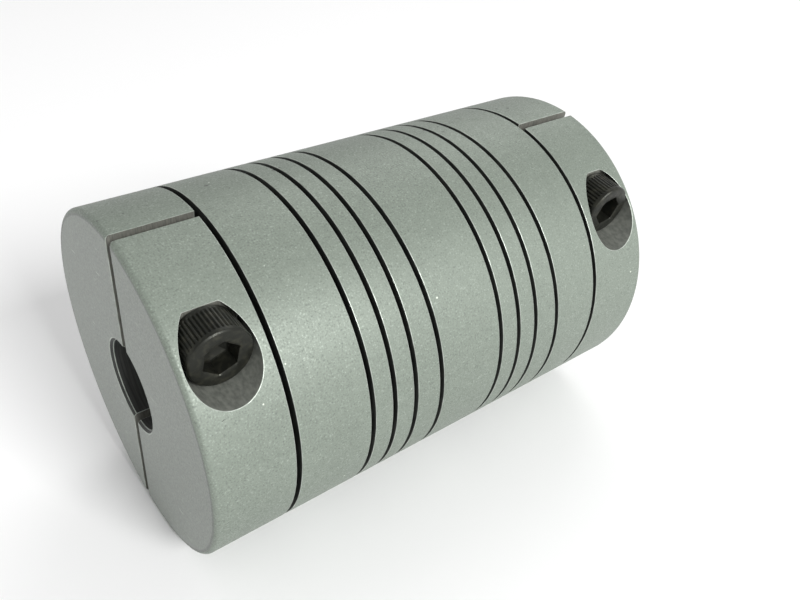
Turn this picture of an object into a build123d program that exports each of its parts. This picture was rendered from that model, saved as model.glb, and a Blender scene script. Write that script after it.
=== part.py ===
from build123d import *
import os
from math import cos, radians, sin

# A clamp-type helical flexure coupling, lying on its side.
# +X runs along the shaft line from the left hub to the right hub, +Z is up, and the origin is the middle.
# Angles are in degrees about +X, counted from the top (+Z) towards the front (-Y).

# driving dimensions, mm
outer_radius = 20.65
length = 64.4
bore_radius = 5.5
bore_chamfer = 0.35
edge_round = 0.6

relief_radius = 8.0          # wider bore under the flexures and the sleeve
relief_depth = 13.0          # from each outer face to where the wider bore begins

ring_slot_place = 9.6        # from each outer face to the middle of its ring slot
slot_width = 0.62            # ring slots and helical slots
ring_slot_reach = 12.0       # how far the ring slot goes past the split plane, behind it
split_width = 1.1
split_angle = {"left": 11.0, "right": 13.9}

flexure_place = 9.5          # from the middle of the coupling to the middle of each flexure
helix_pitch = 2.96
run_out_lead = 6.25          # lead of the first and last half turn of the slot
full_turns = 3               # turns of slot at the even pitch
flat_margin = 0.5            # solid hub between its plain cylinder and the helical slot

screw_place = 4.5           # from the outer face to the screw's axis
screw_offset = 14.6          # from the shaft line to the screw's axis, along the split
seat_height = {"left": 10.2, "right": 9.7}     # from the split plane to the face under each screw's head
counterbore_radius = 3.8
clearance_radius = 2.25

# number 8-32 socket-head cap screw, 5/8 inch long
thread_radius = 2.083
thread_clearance = 0.04
hole_depth = 8.5             # of the threaded hole, from the split plane
screw_length = 15.9
head_radius = 3.43
head_height = 4.17
head_chamfer = 0.35
hex_across_flats = 3.57
hex_depth = 2.0
hex_turn = {"left": 50.0, "right": 40.0}       # how far each screw is turned, which shows in its socket

half_turn = 180
slot_start = -half_turn
beam_cuts = 2 * full_turns   # half turns of beam in each flexure


def slot_centre(middle, angle):
    """Place along X of the helical slot's centre line at an angle along its path."""
    half_even = half_turn * full_turns
    turn = angle - half_even
    even = max(-half_even, min(half_even, turn))
    return middle + (helix_pitch * even + run_out_lead * (turn - even)) / 360


def at_angle(x, angle):
    """Plane across the shaft line at x, with its own x direction pointing out at the angle."""
    outward = (0, -sin(radians(angle)), cos(radians(angle)))
    return Plane(origin=(x, 0, 0), x_dir=outward, z_dir=(1, 0, 0))


def half_rim(radius, angle, start, end):
    """Half a turn of edge on a cylinder, from x = start to x = end."""
    plane = at_angle(start, angle)
    if end == start:
        return Edge.make_circle(radius, plane, 0, half_turn)
    rise = end - start
    return (plane.location * Helix(2 * rise, rise, radius)).edge()


def end_face(angle, low, high):
    """Section of a block at one angle, from x = low to x = high."""
    plane = at_angle(0, angle)
    corners = [(relief_radius, low), (outer_radius, low), (outer_radius, high), (relief_radius, high)]
    points = [plane.from_local_coords((r, 0, x)) for r, x in corners]
    return Face(Polyline(*points, close=True).wire())


def half_block(angle, left, right):
    """Half a turn of tube wall. left and right give its edges' places at its first and last angle."""
    rims = [
        half_rim(radius, angle, *side)
        for radius, side in ((outer_radius, left), (outer_radius, right), (relief_radius, right), (relief_radius, left))
    ]
    faces = [
        Face.make_surface_from_curves(rims[i], rims[(i + 1) % len(rims)])
        for i in range(len(rims))
    ]
    faces.append(end_face(angle, left[0], right[0]))
    faces.append(end_face(angle + half_turn, left[1], right[1]))
    block = Solid(Shell(faces))
    return block if block.volume > 0 else -block


def slot_side(middle, angle, sign):
    """Places of one wall of the slot at the start and the end of a half turn."""
    return [slot_centre(middle, a) + sign * slot_width / 2 for a in (angle, angle + half_turn)]


def coil(middle, number):
    """One half turn of a flexure's beam, which lies between one turn of the slot and the next."""
    angle = slot_start + half_turn * (number - 1)
    return half_block(angle, slot_side(middle, angle, 1), slot_side(middle, angle + 360, -1))


def clamp_plane(side):
    """Plane of the split: its x is the shaft line, its y runs up along the split, its z points at the cap."""
    angle = radians(split_angle[side] + 90)
    return Plane(origin=(0, 0, 0), x_dir=(1, 0, 0), z_dir=(0, -sin(angle), cos(angle)))


def face_x(side):
    return -length / 2 if side == "left" else length / 2


def inward(side):
    return 1 if side == "left" else -1


def plain_hub(side):
    """Round bar from the outer face to the flexure, bored, before it is cut."""
    first_turn = slot_centre(flexure_place, 2 * half_turn * full_turns + half_turn)
    end = -inward(side) * (first_turn + slot_width / 2 + flat_margin)
    low, high = sorted((face_x(side), end))
    bar = Pos((low + high) / 2, 0, 0) * Cylinder(outer_radius, high - low, rotation=(0, 90, 0))
    outer_edge = bar.edges().sort_by(Axis.X)[0 if side == "left" else -1]
    bar = fillet(outer_edge, edge_round)
    bar -= Cylinder(bore_radius, 2 * length, rotation=(0, 90, 0))
    mouth = Pos(face_x(side), 0, 0) * Rot(0, 90, 0)
    cone_reach = 1.0
    cone = Cone(bore_radius + bore_chamfer + cone_reach, bore_radius - cone_reach, bore_chamfer + 2 * cone_reach)
    cone_middle = inward(side) * bore_chamfer / 2
    turned = cone if side == "left" else Rot(180, 0, 0) * cone
    bar -= Pos(cone_middle, 0, 0) * mouth * turned
    relief_start = face_x(side) + inward(side) * relief_depth
    relief_end = end + inward(side) * length / 2
    bar -= Pos((relief_start + relief_end) / 2, 0, 0) * Cylinder(
        relief_radius, abs(relief_end - relief_start), rotation=(0, 90, 0)
    )
    middle = -inward(side) * flexure_place
    for angle in (slot_start, slot_start + half_turn):
        if side == "left":
            bar += half_block(angle, (end, end), slot_side(middle, angle, -1))
        else:
            last = angle + 360 * full_turns
            bar += half_block(angle, slot_side(middle, last, 1), (end, end))
    return bar


def clamp_box(side, x_low, x_high, z_low, z_high):
    """Box in the clamp's frame, wider than the coupling along the split."""
    width = 3 * outer_radius
    size = (x_high - x_low, width, z_high - z_low)
    return clamp_plane(side).location * Pos((x_low + x_high) / 2, 0, (z_low + z_high) / 2) * Box(*size)


def clamp_hole(side, place, radius, low, high):
    """Cylinder along a screw's axis, from low to high, counted from the split plane towards the screw's head.

    place is 1 for the upper screw, which goes in from the front, and -1 for the lower one, from the rear.
    """
    x = face_x(side) + inward(side) * screw_place
    where = Pos(x, place * screw_offset, place * (low + high) / 2)
    return clamp_plane(side).location * where * Cylinder(radius, high - low)


def clamp_parts(side):
    """The hub with its fixed rear jaw, and the cap that comes off its front."""
    bar = plain_hub(side)
    slot_x = face_x(side) + inward(side) * ring_slot_place
    outside = face_x(side) - inward(side)
    clamp_end = slot_x - inward(side) * slot_width / 2
    slot_end = slot_x + inward(side) * slot_width / 2
    far = 2 * outer_radius

    cap = bar & clamp_box(side, *sorted((outside, clamp_end)), split_width / 2, far)
    hub = bar - clamp_box(side, *sorted((outside, slot_end)), -split_width / 2, far)
    hub -= clamp_box(side, *sorted((clamp_end, slot_end)), -ring_slot_reach, far)
    jaws = {1: cap, -1: hub}         # each screw's head is in one jaw, and its thread in the other
    for place in (1, -1):
        jaws[place] -= clamp_hole(side, place, clearance_radius, 0, far)
        jaws[place] -= clamp_hole(side, place, counterbore_radius, seat_height[side], far)
        jaws[-place] -= clamp_hole(side, place, thread_radius + thread_clearance, -hole_depth, 0)
    return jaws[-1], jaws[1]


def screw(side, place):
    """Socket-head cap screw, made along +Z from the face under its head and then put in place."""
    head = Pos(0, 0, head_height / 2) * Cylinder(head_radius, head_height)
    head = chamfer(head.edges().sort_by(Axis.Z)[-1], head_chamfer)
    socket = RegularPolygon(hex_across_flats / 2, 6, major_radius=False, rotation=hex_turn[side])
    head -= Pos(0, 0, head_height - hex_depth) * extrude(socket, hex_depth)
    shank = Pos(0, 0, -screw_length / 2) * Cylinder(thread_radius, screw_length)
    shank = chamfer(shank.edges().sort_by(Axis.Z)[0], head_chamfer)
    x = face_x(side) + inward(side) * screw_place
    facing = Rot(0 if place == 1 else half_turn, 0, 0)
    return clamp_plane(side).location * Pos(x, place * screw_offset, place * seat_height[side]) * facing * (head + shank)


def sleeve():
    """Solid middle between the two flexures."""
    left_last = 360 * full_turns
    halves = [
        half_block(
            angle,
            slot_side(-flexure_place, angle + left_last, 1),
            slot_side(flexure_place, angle, -1),
        )
        for angle in (slot_start, slot_start + half_turn)
    ]
    return halves[0] + halves[1]


nodes = {"centre_sleeve": sleeve()}
for side in ("left", "right"):
    nodes[side + "_hub"], nodes[side + "_cap"] = clamp_parts(side)
    nodes[side + "_screw_upper"] = screw(side, 1)
    nodes[side + "_screw_lower"] = screw(side, -1)
    for number in range(1, beam_cuts + 1):
        nodes[f"{side}_coil_{number}"] = coil(-inward(side) * flexure_place, number)

os.makedirs("parts", exist_ok=True)
for name, shape in nodes.items():
    export_step(shape, f"parts/{name}.step")
    print(name, round(shape.volume, 2))
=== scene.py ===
from itertools import combinations
from math import atan2, cos, hypot, pi, radians, sin

import bmesh
import bpy
from mathutils import Matrix, Vector


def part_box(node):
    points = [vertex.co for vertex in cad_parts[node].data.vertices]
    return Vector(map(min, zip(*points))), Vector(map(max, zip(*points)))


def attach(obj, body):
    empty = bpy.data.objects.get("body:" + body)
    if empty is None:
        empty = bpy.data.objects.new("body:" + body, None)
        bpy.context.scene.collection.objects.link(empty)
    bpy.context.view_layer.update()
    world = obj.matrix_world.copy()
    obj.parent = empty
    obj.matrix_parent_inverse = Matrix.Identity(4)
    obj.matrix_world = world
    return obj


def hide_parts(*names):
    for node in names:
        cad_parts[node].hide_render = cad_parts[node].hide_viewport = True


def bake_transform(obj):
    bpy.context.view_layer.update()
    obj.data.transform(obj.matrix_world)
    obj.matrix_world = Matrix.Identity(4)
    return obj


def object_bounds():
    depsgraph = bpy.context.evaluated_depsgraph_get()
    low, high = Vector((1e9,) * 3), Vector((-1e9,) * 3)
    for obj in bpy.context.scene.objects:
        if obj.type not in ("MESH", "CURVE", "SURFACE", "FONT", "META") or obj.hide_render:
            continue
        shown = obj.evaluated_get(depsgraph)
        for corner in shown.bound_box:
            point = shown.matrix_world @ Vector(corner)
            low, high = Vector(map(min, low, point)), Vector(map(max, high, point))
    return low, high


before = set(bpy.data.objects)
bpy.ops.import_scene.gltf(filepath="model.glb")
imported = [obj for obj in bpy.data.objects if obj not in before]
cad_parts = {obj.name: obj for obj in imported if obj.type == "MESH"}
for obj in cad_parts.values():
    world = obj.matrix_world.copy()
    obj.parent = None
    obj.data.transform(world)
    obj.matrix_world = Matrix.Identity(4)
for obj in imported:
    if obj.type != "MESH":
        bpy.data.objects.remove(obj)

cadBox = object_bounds()
scene = bpy.context.scene
scene.view_settings.view_transform = "Standard"
mm = 0.001
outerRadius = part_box("centre_sleeve")[1].z
endPlace = cadBox[1][0]                        # from the middle to each outer face


# camera, floor and light
view = {"place": (-49.75, -72.57, 53.79), "target": (3.72, -3.36, -0.52), "lens": 34.34}
bpy.ops.object.camera_add(location=Vector(view["place"]) * mm)
camera = bpy.context.object
camera.name = "camera"
camera.data.lens = view["lens"]
camera.data.clip_start = 0.002
lookAlong = (Vector(view["target"]) - Vector(view["place"])).normalized()
camera.rotation_euler = lookAlong.to_track_quat("-Z", "Y").to_euler()
scene.camera = camera

ground = {"half": 1.6, "color": (0.9, 0.9, 0.9)}
bpy.ops.mesh.primitive_plane_add(size=2 * ground["half"], location=(0, 0, -outerRadius))
floor = bpy.context.object
floor.name = "floor"
paper = bpy.data.materials.new("white paper")
paper.use_nodes = True
paper.node_tree.nodes["Principled BSDF"].inputs["Base Color"].default_value = (*ground["color"], 1)
paper.node_tree.nodes["Principled BSDF"].inputs["Roughness"].default_value = 0.9
floor.data.materials.append(paper)

lamps = {                                     # place, size and watts of each soft box
    "key": {"place": (0.15, -1.6, 0.85), "size": 0.6, "power": 38},
    "back": {"place": (1.2, 0.9, 1.5), "size": 1.2, "power": 9},
}
for name, lamp in lamps.items():
    bpy.ops.object.light_add(type="AREA", location=lamp["place"])
    light = bpy.context.object
    light.name = name
    light.data.size = lamp["size"]
    light.data.energy = lamp["power"]
    light.rotation_euler = (-Vector(lamp["place"])).to_track_quat("-Z", "Y").to_euler()

sky = {"strength": 0.53, "horizon": 1.0, "low": 0.12, "high": 0.34, "color": (1.0, 1.0, 1.0)}
world = bpy.data.worlds.new("studio")
world.use_nodes = True
world.node_tree.nodes["Background"].inputs["Color"].default_value = (*sky["color"], 1)
upward = world.node_tree.nodes.new("ShaderNodeTexCoord")
height = world.node_tree.nodes.new("ShaderNodeSeparateXYZ")
fade = world.node_tree.nodes.new("ShaderNodeMapRange")     # a white wall all round, dimmer overhead
for socket, value in (("From Min", sky["low"]), ("From Max", sky["high"]), ("To Min", sky["horizon"]),
                      ("To Max", sky["strength"])):
    fade.inputs[socket].default_value = value
world.node_tree.links.new(upward.outputs["Generated"], height.inputs["Vector"])
world.node_tree.links.new(height.outputs["Z"], fade.inputs["Value"])
world.node_tree.links.new(fade.outputs["Result"], world.node_tree.nodes["Background"].inputs["Strength"])
scene.world = world
print("camera, floor and light are set")


# materials: small helpers first, then one function for each finish
def newMaterial(name):
    material = bpy.data.materials.new(name)
    material.use_nodes = True
    tree = material.node_tree
    shader = tree.nodes["Principled BSDF"]
    place = tree.nodes.new("ShaderNodeTexCoord").outputs["Object"]
    return material, tree, shader, place


def addNode(tree, kind, settings=None, links=None):
    node = tree.nodes.new("ShaderNode" + kind)
    for key, value in (settings or {}).items():
        if hasattr(node, key):
            setattr(node, key, value)
        else:
            node.inputs[key].default_value = value
    for key, source in (links or {}).items():
        tree.links.new(source, node.inputs[key])
    return node


def mapRange(tree, value, low, high, toLow=0.0, toHigh=1.0):
    settings = {"From Min": low, "From Max": high, "To Min": toLow, "To Max": toHigh}
    return addNode(tree, "MapRange", settings, {"Value": value}).outputs["Result"]


def mathNode(tree, operation, first, second):
    node = addNode(tree, "Math", {"operation": operation})
    for i, value in enumerate((first, second)):
        if isinstance(value, (int, float)):
            node.inputs[i].default_value = value
        else:
            tree.links.new(value, node.inputs[i])
    return node.outputs[0]


def mixColor(tree, amount, first, second):
    node = addNode(tree, "Mix", {"data_type": "RGBA"})
    for i, value in ((0, amount), (6, first), (7, second)):
        if isinstance(value, tuple):
            node.inputs[i].default_value = (*value, 1)
        elif isinstance(value, (int, float)):
            node.inputs[i].default_value = value
        else:
            tree.links.new(value, node.inputs[i])
    return node.outputs[2]


def noise(tree, place, scale, detail=2.0):
    return addNode(tree, "TexNoise", {"Scale": scale, "Detail": detail}, {"Vector": place}).outputs["Fac"]


def stretched(tree, place, scale, turn=(0, 0, 0)):
    return addNode(tree, "Mapping", {"Scale": scale, "Rotation": turn}, {"Vector": place}).outputs["Vector"]


blasted = {                                   # bead-blasted, hard-anodised outside
    "color": (0.180, 0.209, 0.176), "dark": (0.118, 0.138, 0.116), "light": (0.285, 0.327, 0.280),
    # the end faces' lighter tone is painted light that makes up for the weaker light on them
    "face": (0.285, 0.300, 0.282),
    "grain": 5200, "mottle": 900, "cloud": 60, "roughness": 0.5, "metallic": 0.25, "grainHeight": 0.02 * mm,
    # bright specks: painted glints, the sparkle of the blasted surface
    "glint": {"color": (0.60, 0.64, 0.56), "scale": 1500, "rarity": 0.994},
    # the dark line on the end faces is painted shade of their rounded edge
    "faceRimShade": {"color": (0.10, 0.11, 0.10), "inset": 0.6 * mm},
    "scratch": {"color": (0.62, 0.65, 0.60), "turns": (0.7, 1.9), "stretch": (1, 260, 2600)},
    "nick": {"color": (0.05, 0.05, 0.05), "scale": 1100, "halfWidth": 1.9 * mm},
}


def makeBlasted():
    material, tree, shader, place = newMaterial("blasted anodise")
    grain = noise(tree, place, blasted["grain"])
    mottle = noise(tree, place, blasted["mottle"], 3.0)
    cloud = noise(tree, place, blasted["cloud"], 2.0)
    darkGrain = mapRange(tree, grain, 0.44, 0.30)
    lightGrain = mapRange(tree, grain, 0.58, 0.74)
    color = mixColor(tree, darkGrain, blasted["color"], blasted["dark"])
    color = mixColor(tree, lightGrain, color, blasted["light"])
    color = mixColor(tree, mapRange(tree, mottle, 0.3, 0.7, 0.0, 0.25), color, blasted["dark"])
    color = mixColor(tree, mapRange(tree, cloud, 0.3, 0.7, 0.0, 0.12), color, blasted["light"])

    # bright specks scattered over the outside: painted glints standing in for sparkle
    glint = blasted["glint"]
    glintCells = addNode(tree, "TexVoronoi", {"Scale": glint["scale"], "Randomness": 1.0}, {"Vector": place})
    glintDot = mapRange(tree, glintCells.outputs["Distance"], 0.22, 0.12)
    parts = addNode(tree, "SeparateColor", {}, {"Color": glintCells.outputs["Color"]})
    chosen = mathNode(tree, "GREATER_THAN", parts.outputs["Red"], glint["rarity"])
    color = mixColor(tree, mathNode(tree, "MULTIPLY", glintDot, chosen), color, glint["color"])

    xyz = addNode(tree, "SeparateXYZ", {}, {"Vector": place})
    across = addNode(tree, "CombineXYZ", {}, {"Y": xyz.outputs["Y"], "Z": xyz.outputs["Z"]}).outputs[0]
    radius = addNode(tree, "VectorMath", {"operation": "LENGTH"}, {0: across}).outputs["Value"]
    # the end faces are mixed towards a lighter tone: painted light that makes up for the weaker light on them
    reach = mathNode(tree, "ABSOLUTE", xyz.outputs["X"], 0)
    onFace = mathNode(tree, "GREATER_THAN", reach, endPlace - 0.02 * mm)
    color = mixColor(tree, mathNode(tree, "MULTIPLY", onFace, 0.6), color, blasted["face"])

    # end faces: a thin dark line of painted shade where the face meets its rounded edge, and a few light
    # scratches
    rim = outerRadius - blasted["faceRimShade"]["inset"]
    rimShade = mathNode(tree, "MULTIPLY", mapRange(tree, radius, rim - 0.25 * mm, rim - 0.05 * mm), onFace)
    color = mixColor(tree, mathNode(tree, "MULTIPLY", rimShade, 0.55), color, blasted["faceRimShade"]["color"])
    scratch = 0
    for turn in blasted["scratch"]["turns"]:
        along = stretched(tree, place, blasted["scratch"]["stretch"], (turn, 0, 0))
        mark = noise(tree, along, 1.0, 1.0)
        mark = mapRange(tree, mark, 0.765, 0.80)
        scratch = mathNode(tree, "MAXIMUM", scratch, mark)
    color = mixColor(tree, mathNode(tree, "MULTIPLY", scratch, mathNode(tree, "MULTIPLY", onFace, 0.5)),
                     color, blasted["scratch"]["color"])

    # small dark nicks along the top
    aside = mathNode(tree, "ABSOLUTE", xyz.outputs["Y"], 0)
    near = mapRange(tree, aside, blasted["nick"]["halfWidth"], 1.2 * mm)
    upper = mathNode(tree, "GREATER_THAN", xyz.outputs["Z"], 0.9 * outerRadius)
    onTop = mathNode(tree, "MULTIPLY", near, upper)
    nick = noise(tree, place, blasted["nick"]["scale"], 2.0)
    nick = mathNode(tree, "MULTIPLY", mapRange(tree, nick, 0.66, 0.70), onTop)
    color = mixColor(tree, mathNode(tree, "MULTIPLY", nick, 0.8), color, blasted["nick"]["color"])

    tree.links.new(color, shader.inputs["Base Color"])
    rough = mapRange(tree, grain, 0.3, 0.7, blasted["roughness"] + 0.1, blasted["roughness"] - 0.08)
    tree.links.new(rough, shader.inputs["Roughness"])
    shader.inputs["Metallic"].default_value = blasted["metallic"]
    bump = addNode(tree, "Bump", {"Strength": 0.5, "Distance": blasted["grainHeight"]}, {"Height": grain})
    tree.links.new(bump.outputs["Normal"], shader.inputs["Normal"])
    return material


worn = {                                      # fine broken edges, rubbed bright
    "color": (0.44, 0.475, 0.43), "dull": (0.27, 0.30, 0.265),
    "patch": 700, "roughness": 0.38, "metallic": 0.5,
}


def makeWorn():
    material, tree, shader, place = newMaterial("worn rim")
    patch = noise(tree, place, worn["patch"], 3.0)
    color = mixColor(tree, mapRange(tree, patch, 0.35, 0.62), worn["dull"], worn["color"])
    tree.links.new(color, shader.inputs["Base Color"])
    tree.links.new(mapRange(tree, patch, 0.3, 0.7, 0.5, worn["roughness"]), shader.inputs["Roughness"])
    shader.inputs["Metallic"].default_value = worn["metallic"]
    return material


cutWall = {                                   # machined inside walls: two tones and how their tool lines run; the near-black slot and bore walls are painted shade for the dark inside of the narrow slots and the bore
    "roughness": 0.6, "metallic": 0.2, "lineHeight": 0.01 * mm,
    "slot": {"color": (0.020, 0.022, 0.020), "light": (0.04, 0.043, 0.038), "stretch": (6000, 300, 300)},
    "bore": {"color": (0.020, 0.021, 0.019), "light": (0.045, 0.047, 0.043), "stretch": (5000, 200, 200)},
    "jaw": {"color": (0.095, 0.096, 0.083), "light": (0.15, 0.15, 0.13), "stretch": (5200, 900, 900)},
    "pocket": {"color": (0.082, 0.087, 0.076), "light": (0.125, 0.131, 0.114), "stretch": (2600, 1400, 1400)},
}


def makeCutWall(kind):
    wall = cutWall[kind]
    material, tree, shader, place = newMaterial(kind + " wall")
    along = stretched(tree, place, wall["stretch"])
    lines = noise(tree, along, 1.0, 2.0)
    color = mixColor(tree, mapRange(tree, lines, 0.35, 0.65), wall["color"], wall["light"])
    tree.links.new(color, shader.inputs["Base Color"])
    shader.inputs["Roughness"].default_value = cutWall["roughness"]
    shader.inputs["Metallic"].default_value = cutWall["metallic"]
    bump = addNode(tree, "Bump", {"Strength": 0.3, "Distance": cutWall["lineHeight"]}, {"Height": lines})
    tree.links.new(bump.outputs["Normal"], shader.inputs["Normal"])
    return material


oxide = {"color": (0.016, 0.017, 0.013), "worn": (0.036, 0.036, 0.026), "patch": 1300, "fine": 7000,
         "roughness": 0.36, "metallic": 0.6}


def makeOxide():
    material, tree, shader, place = newMaterial("black oxide")
    patch = noise(tree, place, oxide["patch"], 3.0)
    fine = noise(tree, place, oxide["fine"], 1.0)
    color = mixColor(tree, mapRange(tree, patch, 0.48, 0.70), oxide["color"], oxide["worn"])
    tree.links.new(color, shader.inputs["Base Color"])
    rough = mapRange(tree, fine, 0.3, 0.7, oxide["roughness"], oxide["roughness"] + 0.16)
    tree.links.new(rough, shader.inputs["Roughness"])
    shader.inputs["Metallic"].default_value = oxide["metallic"]
    bump = addNode(tree, "Bump", {"Strength": 0.25, "Distance": 0.01 * mm}, {"Height": fine})
    tree.links.new(bump.outputs["Normal"], shader.inputs["Normal"])
    return material


blastedFinish = makeBlasted()
wornFinish = makeWorn()
# the slot and bore walls are near-black: painted shade for the narrow slots and the bore
slotShadeFinish = makeCutWall("slot")
boreShadeFinish = makeCutWall("bore")
jawFinish = makeCutWall("jaw")
pocketFinish = makeCutWall("pocket")
oxideFinish = makeOxide()
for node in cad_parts.values():
    node.data.materials.clear()
    node.data.materials.append(oxideFinish if "screw" in node.name else blastedFinish)
print("materials are made")


# machined pieces: hubs, caps, coils and the sleeve, each with fine broken edges
def takeHold(piece):
    if bpy.context.object and bpy.context.object.mode != "OBJECT":
        bpy.ops.object.mode_set(mode="OBJECT")
    bpy.ops.object.select_all(action="DESELECT")
    piece.select_set(True)
    bpy.context.view_layer.objects.active = piece


machining = {"rim": 0.065 * mm, "sharp": radians(32), "seam": 0.002 * mm, "bevelSteps": 2,
             "sag": 0.004 * mm, "roundings": 4, "corner": 0.62 * mm,
             "same": 0.0001 * mm, "screwZone": 8.9 * mm, "boreReach": 8.05 * mm}
slots = {"main": 0, "rim": 1, "slot": 2, "bore": 3, "jaw": 4, "pocket": 5}
splitAngle = {"left": 11.0, "right": 13.9}     # from the top towards the front


def radiusOf(point):
    return hypot(point.y, point.z)


def isChord(edge):                              # both ends on one outside ring, and the middle well inside it
    first, second = (radiusOf(vert.co) for vert in edge.verts)
    middle = (edge.verts[0].co + edge.verts[1].co) / 2
    inWall = all(abs(face.normal.x) > 0.9 for face in edge.link_faces)
    sameRing = abs(first - second) < machining["seam"] and first > outerRadius - machining["corner"]
    return sameRing and not inWall and radiusOf(middle) < first - machining["sag"]


def ringRadius(vert):                           # the ring of the chord that this new point has just halved
    ends = [edge.other_vert(vert).co for edge in vert.link_edges]
    for one, two in combinations(ends, 2):
        halved = ((one + two) / 2 - vert.co).length < machining["same"]
        if halved and abs(radiusOf(one) - radiusOf(two)) < machining["seam"]:
            return radiusOf(one)
    return None


def onRounding(edge):                           # inside the rounded edge of an end face, not at its borders
    near = 1.02 * machining["corner"]
    placed = all(radiusOf(v.co) > outerRadius - near and abs(v.co.x) > endPlace - near for v in edge.verts)
    outward = Vector((0, edge.verts[0].co.y, edge.verts[0].co.z)).normalized()
    normals = [face.normal for face in edge.link_faces]
    return placed and all(normal.dot(outward) > 0.1 or abs(normal.x) > 0.3 for normal in normals)


def machinedPiece(node, name):
    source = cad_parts[node]
    piece = bpy.data.objects.new(name, source.data.copy())
    scene.collection.objects.link(piece)
    piece.data.materials.clear()
    for finish in (blastedFinish, wornFinish, slotShadeFinish, boreShadeFinish, jawFinish, pocketFinish):
        piece.data.materials.append(finish)
    takeHold(piece)
    bpy.ops.mesh.customdata_custom_splitnormals_clear()
    bpy.ops.object.mode_set(mode="EDIT")
    bpy.ops.mesh.select_all(action="SELECT")
    bpy.ops.mesh.remove_doubles(threshold=0.001 * mm)
    bpy.ops.mesh.select_mode(type="EDGE")
    for _ in range(machining["roundings"]):     # long chords are split until they follow the round
        bpy.ops.mesh.select_all(action="DESELECT")
        mesh = bmesh.from_edit_mesh(piece.data)
        for edge in mesh.edges:
            edge.select_set(isChord(edge))
        bmesh.update_edit_mesh(piece.data)
        bpy.ops.mesh.subdivide(number_cuts=1)
        mesh = bmesh.from_edit_mesh(piece.data)
        targets = [(vert, ringRadius(vert)) for vert in mesh.verts if vert.select]
        for vert, target in targets:
            if target:
                stretch = target / radiusOf(vert.co)
                vert.co.y *= stretch
                vert.co.z *= stretch
        bmesh.update_edit_mesh(piece.data)
    bpy.ops.mesh.select_all(action="DESELECT")
    mesh = bmesh.from_edit_mesh(piece.data)
    for edge in mesh.edges:
        inSeam = all(abs(v.co.y) < machining["seam"] for v in edge.verts)
        if edge.is_manifold and not inSeam and not onRounding(edge):
            edge.select_set(edge.calc_face_angle() > machining["sharp"])
    bmesh.update_edit_mesh(piece.data)
    bpy.ops.mesh.bevel(offset=machining["rim"], segments=machining["bevelSteps"], clamp_overlap=False,
                       material=slots["rim"], loop_slide=True)
    bpy.ops.object.mode_set(mode="OBJECT")
    bpy.ops.object.shade_smooth_by_angle(angle=radians(28))
    return piece


def finishFaces(piece):
    mesh = piece.data
    corners = [Vector(n.vector) for n in mesh.corner_normals]
    for face in mesh.polygons:
        radii = [radiusOf(mesh.vertices[i].co) for i in face.vertices]
        outward = Vector((0, face.center.y, face.center.z)).normalized()
        onOutside = radiusOf(face.center) > outerRadius - 0.03 * mm and outward.dot(face.normal) > 0.995
        flatEnd = abs(face.normal.x) > 0.9999
        onCorner = (min(radii) > outerRadius - machining["corner"] and abs(face.normal.x) > 0.02
                    and abs(face.center.x) > endPlace - machining["corner"])
        onEnd = flatEnd and abs(face.center.x) > endPlace - 0.01 * mm
        if onOutside:
            face.material_index = slots["main"]
        elif face.material_index != slots["rim"]:
            if max(radii) < machining["boreReach"]:
                face.material_index = slots["bore"]
            elif not onCorner and not onEnd:           # inside walls
                split = radians(splitAngle["left" if face.center.x < 0 else "right"])
                facesSplit = abs(face.normal.dot(Vector((0, cos(split), sin(split))))) > 0.99
                aroundScrew = abs(face.center.x) > endPlace - machining["screwZone"]
                kind = "jaw" if facesSplit else "pocket" if aroundScrew else "slot"
                face.material_index = slots[kind]
        for i in face.loop_indices:
            point = mesh.vertices[mesh.loops[i].vertex_index].co
            if onOutside and face.material_index == slots["main"]:
                corners[i] = Vector((0, point.y, point.z)).normalized()
            elif flatEnd:
                corners[i] = face.normal.copy()
    mesh.normals_split_custom_set(corners)


bodyNames = {
    "left": ["left_hub"] + [f"left_beam_{k}" for k in range(1, 6)] + ["sleeve"],
    "right": ["sleeve"] + [f"right_beam_{k}" for k in range(1, 6)] + ["right_hub"],
}
rigid = {"left_hub": "left_hub", "right_hub": "right_hub", "left_cap": "left_cap", "right_cap": "right_cap",
         "centre_sleeve": "sleeve"}
for node, body in rigid.items():
    piece = machinedPiece(node, node + "_body")
    finishFaces(piece)
    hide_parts(node)
    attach(piece, body)
print("hubs, caps and sleeve are machined")

for side, chain in bodyNames.items():
    for k in range(1, len(chain)):
        node = f"{side}_coil_{k}"
        piece = machinedPiece(node, node + "_body")
        finishFaces(piece)
        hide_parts(node)
        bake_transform(piece)
print("coils are machined")

# clamp screws: knurled socket heads on rolled threads
screw = {
    "head": 3.43 * mm, "height": 4.17 * mm, "chamfer": 0.35 * mm, "ridges": 48, "ridgeDepth": 0.16 * mm,
    "plainBand": 0.5 * mm, "across": 3.57 * mm, "depth": 2.0 * mm, "mouth": 0.10 * mm, "drillDepth": 0.7 * mm,
    "thread": 2.083 * mm, "root": 1.62 * mm, "pitch": 25.4 / 32 * mm, "length": 15.9 * mm, "collar": 0.2 * mm,
}
clamp = {"place": 4.5 * mm, "offset": 14.6 * mm, "seat": {"left": 10.2 * mm, "right": 9.7 * mm},
         "turn": {"left": 50.0, "right": 40.0}, "gap": 0.02 * mm}


def selectFaces(piece, test):
    bpy.ops.mesh.select_mode(type="FACE")
    bpy.ops.mesh.select_all(action="DESELECT")
    mesh = bmesh.from_edit_mesh(piece.data)
    for face in mesh.faces:
        face.select_set(test(face))
    bmesh.update_edit_mesh(piece.data)


def ringInward(scale, drop=0.0):
    bpy.ops.mesh.extrude_region_move(TRANSFORM_OT_translate={"value": (0, 0, drop)})
    bpy.ops.transform.resize(value=(scale, scale, 1), center_override=(0, 0, 0))


def hexagonRadius(angle, across):
    return across / 2 / cos((angle + pi / 6) % (pi / 3) - pi / 6)


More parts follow.
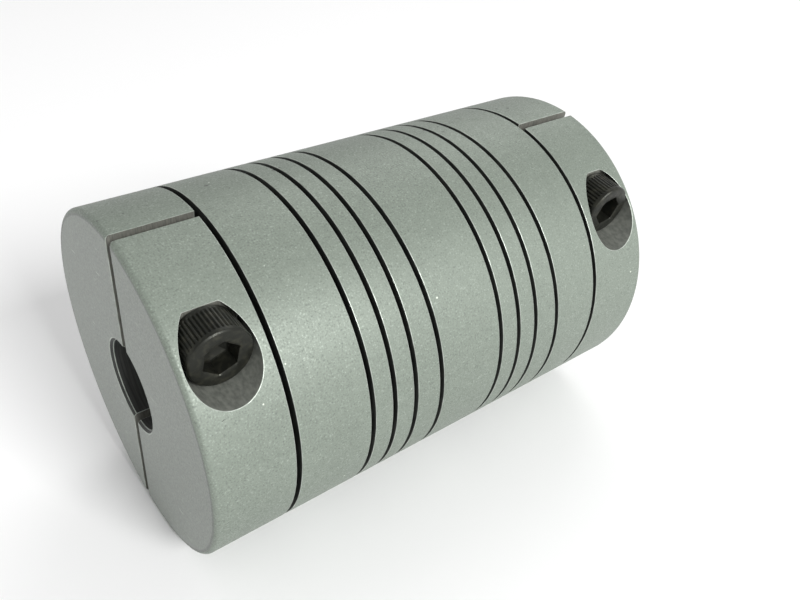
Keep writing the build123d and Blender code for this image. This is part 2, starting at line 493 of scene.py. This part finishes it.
def makeHead():
    steps = 3 * screw["ridges"]
    bpy.ops.object.select_all(action="DESELECT")
    bpy.ops.mesh.primitive_cylinder_add(vertices=steps, radius=screw["head"], depth=screw["height"],
                                        location=(0, 0, screw["height"] / 2))
    head = bpy.context.object
    bpy.ops.object.transform_apply(location=True, rotation=False, scale=False)
    bpy.ops.object.mode_set(mode="EDIT")
    low, high = screw["plainBand"], screw["height"] - screw["chamfer"] - screw["plainBand"] / 2
    for height in (low, low + 0.12 * mm, high - 0.12 * mm, high):
        bpy.ops.mesh.select_all(action="SELECT")
        bpy.ops.mesh.bisect(plane_co=(0, 0, height), plane_no=(0, 0, 1))
    bpy.ops.mesh.select_mode(type="EDGE")
    bpy.ops.mesh.select_all(action="DESELECT")
    mesh = bmesh.from_edit_mesh(head.data)
    for edge in mesh.edges:
        ends = [v.co.z for v in edge.verts]
        if min(ends) > screw["height"] - 0.01 * mm or max(ends) < 0.01 * mm:
            edge.select_set(True)
    bmesh.update_edit_mesh(head.data)
    bpy.ops.mesh.bevel(offset=screw["chamfer"], segments=3, profile=0.5)
    mesh = bmesh.from_edit_mesh(head.data)
    for vert in mesh.verts:                     # press the knurl's grooves into the flank
        inBand = low + 0.06 * mm < vert.co.z < high - 0.06 * mm
        step = round(atan2(vert.co.y, vert.co.x) / (2 * pi) * steps) % 3
        if inBand and step == 0:
            share = 1 - screw["ridgeDepth"] / screw["head"]
            vert.co.x *= share
            vert.co.y *= share
    bmesh.update_edit_mesh(head.data)

    # the socket: a coned mouth, six walls and a drilled bottom
    top = screw["height"] - 0.01 * mm
    selectFaces(head, lambda face: face.normal.z > 0.99 and face.calc_center_median().z > top)
    flat = screw["head"] - screw["chamfer"]
    mouthRadius = screw["across"] / 2 / cos(pi / 6) + 0.06 * mm
    ringInward(mouthRadius / flat)
    wall = screw["depth"] - screw["mouth"]
    for drop, kind in ((screw["mouth"], "hexagon"), (wall, "hexagon"), (0.0, "circle"),
                       (screw["drillDepth"], "tip")):
        ringInward({"circle": 0.86, "tip": 0.02}.get(kind, 1.0), -drop)
        if kind == "hexagon":
            mesh = bmesh.from_edit_mesh(head.data)
            for vert in mesh.verts:
                if vert.select:
                    angle = atan2(vert.co.y, vert.co.x)
                    reach = hexagonRadius(angle, screw["across"])
                    vert.co.x, vert.co.y = reach * cos(angle), reach * sin(angle)
            bmesh.update_edit_mesh(head.data)
    bpy.ops.mesh.merge(type="CENTER")
    bpy.ops.mesh.select_all(action="SELECT")
    bpy.ops.mesh.normals_make_consistent(inside=False)
    bpy.ops.object.mode_set(mode="OBJECT")
    return head


def makeShank():
    rows = round((screw["length"] - screw["collar"]) / screw["pitch"] * 8)
    bpy.ops.object.select_all(action="DESELECT")
    length = screw["length"] + screw["collar"]
    bpy.ops.mesh.primitive_cylinder_add(vertices=36, radius=screw["thread"], depth=length,
                                        location=(0, 0, screw["collar"] - length / 2))
    shank = bpy.context.object
    bpy.ops.object.transform_apply(location=True, rotation=False, scale=False)
    bpy.ops.object.mode_set(mode="EDIT")
    bpy.ops.mesh.select_mode(type="EDGE")
    bpy.ops.mesh.select_all(action="DESELECT")
    mesh = bmesh.from_edit_mesh(shank.data)
    for edge in mesh.edges:
        if abs(edge.verts[0].co.z - edge.verts[1].co.z) > length / 2:
            edge.select_set(True)
    bmesh.update_edit_mesh(shank.data)
    bpy.ops.mesh.subdivide(number_cuts=rows)
    mesh = bmesh.from_edit_mesh(shank.data)
    for vert in mesh.verts:                     # roll the thread: each point's radius follows the helix
        if hypot(vert.co.x, vert.co.y) < screw["root"] / 2:
            continue
        angle = atan2(vert.co.y, vert.co.x)
        turn = (vert.co.z / screw["pitch"] - angle / (2 * pi)) % 1
        crest = min(1, max(0, 2.4 * abs(2 * turn - 1) - 0.7))
        fade = min(1, max(0, (-vert.co.z - 0.6 * mm) / (0.8 * mm)))
        tip = min(1, max(0, (screw["length"] + vert.co.z) / (0.9 * mm)))
        reach = screw["thread"] - (screw["thread"] - screw["root"]) * crest * fade
        reach = min(reach, screw["root"] + (screw["thread"] - screw["root"]) * tip)
        vert.co.x, vert.co.y = reach * cos(angle), reach * sin(angle)
    bmesh.update_edit_mesh(shank.data)
    bpy.ops.object.mode_set(mode="OBJECT")
    return shank


head = makeHead()
shank = makeShank()
bpy.ops.object.select_all(action="DESELECT")
shank.select_set(True)
head.select_set(True)
bpy.context.view_layer.objects.active = head
bpy.ops.object.join()
bpy.ops.object.shade_smooth_by_angle(angle=radians(24))
head.data.materials.append(oxideFinish)
print("a screw is modelled")

for side, facing in (("left", -1), ("right", 1)):
    split = radians(splitAngle[side])
    outward = Vector((0, -cos(split), -sin(split)))          # off the split plane, towards the cap
    along = Vector((0, -sin(split), cos(split)))             # up the split plane
    for place, sign in (("upper", 1), ("lower", -1)):
        node = f"{side}_screw_{place}"
        copy = bpy.data.objects.new(node + "_body", head.data.copy())
        scene.collection.objects.link(copy)
        axes = Matrix((Vector((1, 0, 0)), sign * along, sign * outward)).transposed().to_4x4()
        spot = Vector((facing * (endPlace - clamp["place"]), 0, 0))
        spot += sign * (along * clamp["offset"] + outward * (clamp["seat"][side] + clamp["gap"]))
        turned = Matrix.Rotation(radians(clamp["turn"][side]), 4, "Z")
        copy.data.transform(Matrix.Translation(spot) @ axes @ turned)
        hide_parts(node)
        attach(copy, node)
bpy.data.objects.remove(head)
print("four screws are in place")
